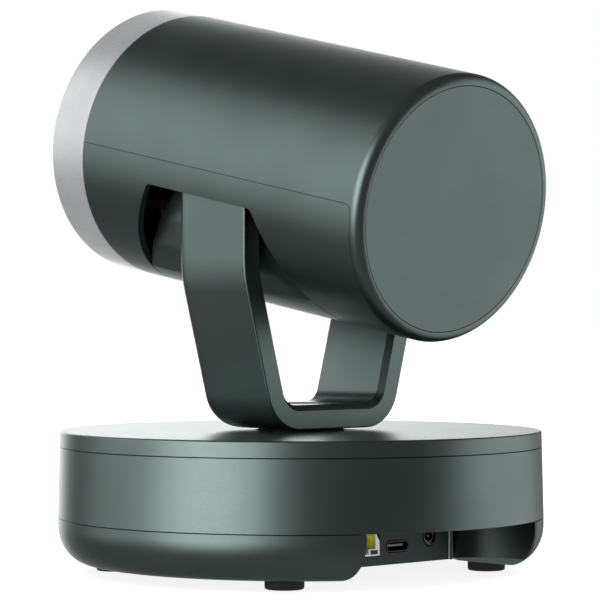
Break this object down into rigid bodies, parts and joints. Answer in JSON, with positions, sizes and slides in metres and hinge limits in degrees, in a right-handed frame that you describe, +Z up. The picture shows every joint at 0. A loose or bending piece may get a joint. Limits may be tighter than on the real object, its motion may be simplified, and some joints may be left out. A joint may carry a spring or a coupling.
{
  "type": "ptz camera",
  "caption": "Motorised conference camera: round base with sockets at the back, U-shaped yoke that pans, and a cylindrical head that tilts and holds a zoom lens.",
  "frame": {"origin": "on the pan axis, at the surface that the feet stand on", "axes": "+Z up, the lens looks towards -Y, the sockets face +Y"},
  "size_m": [0.145, 0.1476, 0.1725],
  "materials": {
    "green_shell": "fine satin texture, dark green-grey",
    "dark_shell": "satin, near black",
    "satin_silver": "satin silver",
    "gloss_black": "glossy black",
    "lens_glass": "coated lens glass",
    "rubber": "matt black rubber",
    "steel": "plain steel",
    "brass": "turned brass",
    "aluminium": "die-cast or turned aluminium",
    "circuit_green": "glass-fibre circuit board with solder mask",
    "contact_gold": "gold-plated contacts",
    "black_plastic": "black moulded plastic"
  },
  "bodies": {
    "base": {"base_bottom_shell": "green_shell", "base_middle_ring": "green_shell", "base_top_cover": "green_shell", "port_panel": "green_shell", "network_jack": "satin_silver", "network_contacts": "contact_gold", "usb_shell": "steel", "usb_tongue": "black_plastic", "power_jack": "black_plastic", "power_pin": "brass", "main_board": "circuit_green", "processor_heat_sink": "aluminium", "ballast_plate": "steel", "tripod_nut": "brass", "foot_front_left": "rubber", "foot_front_right": "rubber", "foot_rear_left": "rubber", "foot_rear_right": "rubber", "base_screw_1": "steel", "base_screw_2": "steel", "base_screw_3": "steel", "pan_bearing": "steel", "pan_motor": "steel", "pan_belt": "rubber"},
    "pan_motor_rotor": {"pan_motor_pulley": "aluminium"},
    "yoke": {"yoke_bracket": "green_shell", "pan_spindle": "dark_shell", "pan_pulley": "aluminium", "spindle_nut": "brass", "tilt_pin_left": "steel", "tilt_pin_right": "steel", "tilt_pulley": "aluminium"},
    "head": {"head_upper_housing": "green_shell", "head_lower_housing": "green_shell", "belly_insert": "green_shell", "rear_cap": "green_shell", "front_ring": "satin_silver", "front_bezel": "gloss_black", "front_glass": "lens_glass", "head_frame": "aluminium", "tilt_bush_left": "brass", "tilt_bush_right": "brass", "tilt_motor": "steel", "tilt_belt": "rubber", "sensor_board": "circuit_green", "image_sensor": "gloss_black", "sensor_heat_sink": "aluminium", "video_board": "circuit_green", "lens_barrel": "black_plastic", "front_lens": "lens_glass", "guide_rod_left": "steel", "guide_rod_right": "steel"},
    "tilt_motor_rotor": {"tilt_motor_pulley": "aluminium"},
    "zoom_group": {"zoom_carrier": "black_plastic", "zoom_lens": "lens_glass"},
    "focus_group": {"focus_carrier": "black_plastic", "focus_lens": "lens_glass"}
  },
  "joints": [
    {"name": "pan", "type": "hinge", "parent": "base", "child": "yoke", "pos_m": [0, 0, 0.0424], "axis": [0, 0, 1], "range_deg": [-170, 170]},
    {"name": "tilt", "type": "hinge", "parent": "yoke", "child": "head", "pos_m": [0, 0, 0.1188], "axis": [-1, 0, 0], "range_deg": [-40.5, 18.5]},
    {"name": "pan_motor_spin", "type": "hinge", "parent": "base", "child": "pan_motor_rotor", "pos_m": [-0.038, -0.01, 0.023], "axis": [0, 0, 1], "range_deg": [-511, 511]},
    {"name": "tilt_motor_spin", "type": "hinge", "parent": "head", "child": "tilt_motor_rotor", "pos_m": [0, 0.01761, 0.12557], "axis": [-1, 0, 0], "range_deg": [-100, 100]},
    {"name": "zoom", "type": "slide", "parent": "head", "child": "zoom_group", "axis": [0, -0.9817, 0.1906], "range_m": [-0.004, 0.006]},
    {"name": "focus", "type": "slide", "parent": "head", "child": "focus_group", "axis": [0, -0.9817, 0.1906], "range_m": [-0.0015, 0.002]}
  ],
  "couplings": [
    {"joint": "pan_motor_spin", "follows": "pan", "ratio": 3},
    {"joint": "tilt_motor_spin", "follows": "tilt", "ratio": -2.3913}
  ]
}
